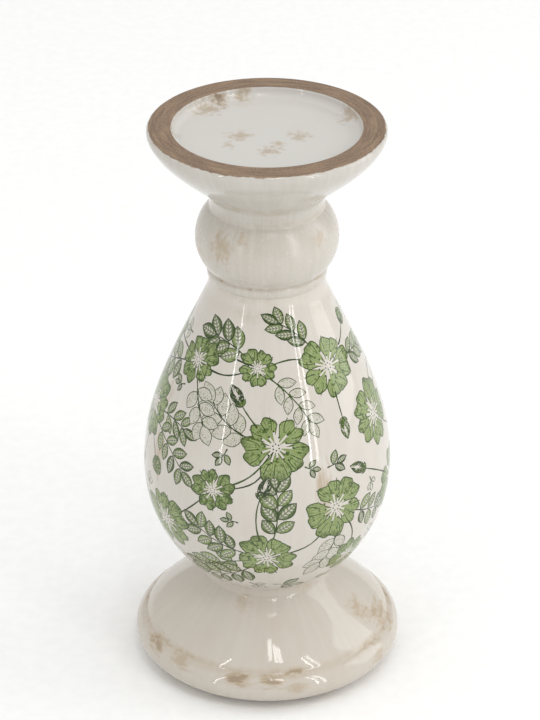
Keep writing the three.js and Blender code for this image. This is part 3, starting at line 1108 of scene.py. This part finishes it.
def dish_look():
    """The dish's glaze, with a matt brown stain brushed round the top of its rim."""
    look = Look("stained_glaze", IOR=1.5)
    recess = RIM_RADIUS - RIM_WIDTH
    floor = TOP - RECESS_DEPTH
    # The recess gets a lighter cream than the rest of the dish: painted light on its upward face. The darker
    # cream is painted shade on the underside.
    inside_rim = look.ramp(look.radius, recess, recess + 1, 1.0, 0.0)
    within = look.times(look.ramp(look.z, TOP - 6, TOP - 5), inside_rim)
    colour = glaze_colour(
        look,
        look.mix(within, srgb(188, 184, 176), srgb(202, 199, 193)),
        # The band at NECK is painted shade where the dish overhangs the knop; the band above it darkens the
        # dish's underside.
        creases=((NECK, 4, 6, 0.2), (NECK + DISH_NECK_HEIGHT, 5, 6, 0.3)),
        blotches=(
            (-148, recess, TOP - 2.5, 6, 1, 0.8),
            (-136, recess - 3, TOP - 4, 7, 1, 0.55),
            (-164, recess, TOP - 3, 5, 1, 0.6),
            (116, recess, TOP - 3, 7, 1, 0.55),
            (-88, 12, floor, 5.5, 1, 0.55),
            (-60, 18, floor, 3.5, 1, 0.45),
            (4, 14, floor, 5.5, 1, 0.55),
            (30, 9, floor, 3.5, 1, 0.5),
            (88, 13, floor, 5, 1, 0.5),
            (-90, recess, TOP - 3, 4, 1, 0.4),
            (-28, 27, NECK + 8, 5, 0.7, 0.45),
            (-60, 36, NECK + 14, 5, 0.7, 0.4),
            (30, 38, NECK + 16, 5, 0.7, 0.35),
        ),
        brushed=look.math("SUBTRACT", 1.0, within),
    )
    ragged = look.times(look.plus(look.noise(3.6, 5.0), -0.5), 1.5)
    outer = look.ramp(look.plus(look.radius, ragged), RIM_RADIUS - 1.1, RIM_RADIUS - 0.7, 1.0, 0.0)
    inner = look.ramp(look.plus(look.radius, look.times(ragged, 0.12)), recess - 0.1, recess + 0.25)
    top = look.ramp(look.z, TOP - 1.15, TOP - 0.75)
    stain = look.times(look.times(outer, inner), top)

    # The brush went round the rim, so its streaks are long round it and fine across it.
    rings = look.node(
        "CombineXYZ",
        look.times(look.math("DIVIDE", look.x, look.radius), 3.5),
        look.times(look.math("DIVIDE", look.y, look.radius), 3.5),
        look.times(look.radius, 0.9),
    )
    streaks = look.noise(1.0, 5.0, rings, 0.65)
    pits = look.noise(0.7, 5.0)
    brown = look.mix(look.ramp(streaks, 0.3, 0.72), srgb(110, 87, 68), srgb(150, 126, 101))
    brown = look.mix(look.times(look.ramp(pits, 0.52, 0.68), 0.6), brown, srgb(84, 65, 49))
    brown = look.mix(look.times(look.ramp(pits, 0.3, 0.42, 1.0, 0.0), 0.5), brown, srgb(178, 156, 130))
    colour = look.mix(look.times(stain, look.ramp(pits, 0.68, 0.8, 1.0, 0.55)), colour, brown)
    matt = look.ramp(streaks, 0.3, 0.7, 0.44, 0.62)
    roughness = look.plus(
        look.times(stain, matt), look.times(look.math("SUBTRACT", 1.0, stain), glaze_roughness(look))
    )
    height = look.plus(glaze_height(look), look.times(stain, look.plus(look.times(streaks, 1.6), pits)))
    return look.finish(colour, roughness, height, 0.06)


def biscuit_look(name, tint):
    """Unglazed fired clay: chalky, finely pitted and a little stained."""
    look = Look(name)
    grain = look.noise(0.5, 4.0)
    stained = look.ramp(look.noise(9), 0.4, 0.75)
    colour = look.mix(look.times(stained, 0.35), tint, srgb(178, 160, 134))
    colour = look.mix(look.times(look.ramp(grain, 0.55, 0.8), 0.3), colour, srgb(150, 134, 112))
    return look.finish(colour, look.ramp(grain, 0.3, 0.7, 0.72, 0.9), grain, 0.12)


def felt_look():
    """Pressed wool: short crossed fibres, a soft nap and a little sheen."""
    look = Look("felt", Sheen_Weight=0.35, Sheen_Roughness=0.45)
    fibres = look.noise(0.22, 5.0, roughness=0.7)
    tufts = look.noise(1.1, 3.0)
    colour = look.mix(look.ramp(fibres, 0.32, 0.7), srgb(112, 104, 92), srgb(176, 168, 152))
    colour = look.mix(look.times(look.ramp(tufts, 0.5, 0.75), 0.3), colour, srgb(96, 88, 76))
    return look.finish(colour, look.ramp(fibres, 0.3, 0.7, 0.82, 0.96), fibres, 0.25)


def floor_look():
    look = Look("paper_floor")
    tooth = look.noise(6, 4.0)
    colour = look.mix(look.ramp(tooth, 0.3, 0.7), srgb(246, 246, 245), srgb(249, 249, 248))
    return look.finish(colour, look.ramp(tooth, 0.3, 0.7, 0.85, 0.95), tooth, 0.05)


# ---- Pieces -----------------------------------------------------------------------------------------


def stands_for(piece, node):
    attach(piece, "root")
    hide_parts(node)


def glazed_foot(biscuit):
    outline, outside = foot_outline()
    crease = PAD_TOP + FLANGE_HEIGHT
    glaze = glaze_look(
        "foot_glaze",
        srgb(190, 182, 170),
        creases=((WAIST, 5, 2, 0.35), (crease + 0.2, 2.6, 2.6, 0.75), (PAD_TOP + 0.8, 2, 3.5, 0.6)),
        blotches=(
            (-60, 54, crease - 1, 8, 0.6, 0.7),
            (-42, 55, crease - 2, 6, 0.6, 0.5),
            (-14, 55, crease - 2, 7, 0.5, 0.75),
            (2, 55, crease - 2, 8, 0.4, 0.7),
            (14, 57, crease - 5, 5, 0.6, 0.45),
            (78, 50, crease + 2, 10, 0.7, 0.6),
            (66, 43, crease + 8, 7, 1, 0.5),
            (58, 57, crease - 6, 5, 0.8, 0.35),
            (-20, 30, WAIST - 6, 4, 1.5, 0.35),
            (160, 53, crease, 9, 0.7, 0.6),
            (-130, 54, crease - 1, 8, 0.6, 0.6),
        ),
        brushed=0.5,
        drag=(9, 0.6),
    )
    outline = softened(outline, (WAIST_RADIUS, WAIST))
    foot = turned("glazed_foot", outline, [glaze, biscuit], beside(outside))
    stands_for(foot, "foot")


def glazed_knop(biscuit):
    outline, outside = knop_outline()
    crease = COLLAR + COLLAR_HEIGHT
    glaze = glaze_look(
        "knop_glaze",
        srgb(188, 182, 172),
        # The band at NECK is painted shade under the dish's overhang; the other two are brown wash.
        creases=((COLLAR, 2, 1.1, 0.4), (crease, 0.9, 1.4, 0.85), (NECK, 4, 2, 0.25)),
        blotches=(
            (-40, 29, crease + 18, 7, 1.3, 0.5),
            (-22, 28, crease + 24, 5, 0.8, 0.4),
            (48, 28, crease + 21, 4, 1.2, 0.4),
            (-72, 29, crease + 10, 5, 1.5, 0.4),
            (170, 29, crease + 13, 7, 1.2, 0.5),
        ),
        brushed=0.8,
        drag=(12, 0.35),
        smooth=0.13,
    )
    outline = softened(outline, (NECK_RADIUS, NECK), (COLLAR_RADIUS, COLLAR))
    knop = turned("glazed_knop", outline, [glaze, biscuit], beside(outside))
    stands_for(knop, "knop")


def stained_dish(biscuit):
    outline, outside = dish_outline()
    outline = softened(outline, (NECK_RADIUS, NECK), closed=False)
    dish = turned("stained_dish", outline, [dish_look(), biscuit], beside(outside), False)
    stands_for(dish, "candle_dish")


def felt_pads():
    felt = felt_look()
    for number in range(1, 5):
        node = f"felt_pad_{number}"
        low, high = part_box(node)
        centre = (low + high) / 2 / MM
        radius = (high.x - low.x) / 2 / MM
        height = high.z / MM
        edge = arc((radius - PAD_ROUNDING, PAD_ROUNDING), PAD_ROUNDING, PAD_ROUNDING, -math.pi / 2, 0, 4)
        rise = [(radius, share * height) for share in (0.5, 0.7, 0.9, 1)]
        across = [(share * radius, height) for share in (0.8, 0.55, 0.3)]
        under = [(share * radius, 0) for share in (0.3, 0.6)]
        outline = joined([(0, 0)], under, edge, rise, across, [(0, height)])
        pad = turned(f"felt_disc_{number}", outline, [felt], lambda point: True, False, 48)
        nap(pad, centre)
        stands_for(pad, node)


NAP_DEPTH = 0.12 * MM
NAP_START = 1 * MM  # a pad is smooth nearer to its middle than this


def nap(pad, centre):
    """Move a pad to its place, with its edge drawn in unevenly as pressed wool is."""
    for vertex in pad.data.vertices:
        away = vertex.co.xy.length
        fray = noise.noise(vertex.co * 900 + Vector(centre)) * NAP_DEPTH if away > NAP_START else 0
        scale = 1 - (NAP_DEPTH + abs(fray)) / max(away, NAP_START)
        vertex.co.x = vertex.co.x * scale + centre[0] * MM
        vertex.co.y = vertex.co.y * scale + centre[1] * MM


def place_pieces():
    biscuit = biscuit_look("biscuit", srgb(214, 206, 192))
    glazed_foot(biscuit)
    glazed_knop(biscuit)
    stained_dish(biscuit)
    body = printed_body([printed_look(), biscuit])
    stands_for(body, "body")
    felt_pads()
    slip = biscuit_look("fired_slip", srgb(196, 172, 138))
    for name in ("luting_ring_lower", "luting_ring_middle", "luting_ring_upper"):
        for holder in bpy.data.objects[name].material_slots:
            holder.material = slip


# ---- Floor, camera and lights -----------------------------------------------------------------------

CAMERA_PLACE = (0.0012, -1.1558, 0.7818)
CAMERA_TILT = 61.01
FOCAL_LENGTH = 156.5
FLOOR_REACH = 20  # metres from the middle, far past the picture
LIGHT_DISTANCE = 1.5
WINDOW_HEIGHT = 1.5
ROOM_WEIGHTS = (0.42, 0.08, 0.62)  # how much light comes from each side, from front and back, and from above
ROOM_LEAST = 0.3


def floor():
    grid = bmesh.new()
    bmesh.ops.create_grid(grid, x_segments=24, y_segments=24, size=FLOOR_REACH)
    mesh = bpy.data.meshes.new("pale_floor")
    grid.to_mesh(mesh)
    grid.free()
    mesh.materials.append(floor_look())
    piece = bpy.data.objects.new("pale_floor", mesh)
    bpy.context.collection.objects.link(piece)


def camera():
    lens = bpy.data.cameras.new("camera")
    lens.lens = FOCAL_LENGTH
    lens.sensor_width = 36
    lens.clip_start = 0.01
    holder = bpy.data.objects.new("camera", lens)
    holder.location = CAMERA_PLACE
    holder.rotation_euler = (math.radians(CAMERA_TILT), 0, 0)
    bpy.context.collection.objects.link(holder)
    bpy.context.scene.camera = holder


def panel(name, turn, elevation, width, height, power):
    """A soft box that faces the candlestick, at a turn round it and an elevation above its middle."""
    turn, elevation = math.radians(turn), math.radians(elevation)
    outward = Vector(
        (math.cos(elevation) * math.sin(turn), -math.cos(elevation) * math.cos(turn), math.sin(elevation))
    )
    light = bpy.data.lights.new(name, "AREA")
    light.shape = "RECTANGLE"
    light.size = width
    light.size_y = height
    light.energy = power
    holder = bpy.data.objects.new(name, light)
    holder.location = Vector((0, 0, TOP * MM / 2)) + outward * LIGHT_DISTANCE
    holder.rotation_euler = outward.to_track_quat("Z", "Y").to_euler()
    holder.visible_camera = False
    bpy.context.collection.objects.link(holder)


def studio():
    panel("right_window_near", 41, 22, 0.045, WINDOW_HEIGHT, 2.4)
    panel("right_window_far", 47, 22, 0.07, WINDOW_HEIGHT, 2.2)
    panel("right_fill", 96, 20, 0.8, 1.2, 5)
    panel("left_strip", -42.5, 20, 0.03, WINDOW_HEIGHT, 1.8)
    for pane, turn in enumerate((4, 11, 16)):
        panel(f"high_window_{pane}", turn, 58 - 2 * pane, 0.07, 0.36, 0.6)

    # The room is brightest overhead and to the sides, and dimmest towards the camera and at the horizon.
    world = bpy.data.worlds.new("studio")
    world.use_nodes = True
    nodes, links = world.node_tree.nodes, world.node_tree.links
    direction = nodes.new("ShaderNodeTexCoord").outputs["Generated"]
    sides = nodes.new("ShaderNodeVectorMath")
    sides.operation = "ABSOLUTE"
    weighed = nodes.new("ShaderNodeVectorMath")
    weighed.operation = "DOT_PRODUCT"
    weighed.inputs[1].default_value = ROOM_WEIGHTS
    base = nodes.new("ShaderNodeMath")
    base.inputs[1].default_value = ROOM_LEAST
    links.new(direction, sides.inputs[0])
    links.new(sides.outputs[0], weighed.inputs[0])
    links.new(weighed.outputs["Value"], base.inputs[0])
    links.new(base.outputs[0], nodes["Background"].inputs["Strength"])
    nodes["Background"].inputs["Color"].default_value = (1, 1, 1, 1)
    bpy.context.scene.world = world
    bpy.context.scene.view_settings.view_transform = "Standard"


place_pieces()
floor()
camera()
studio()
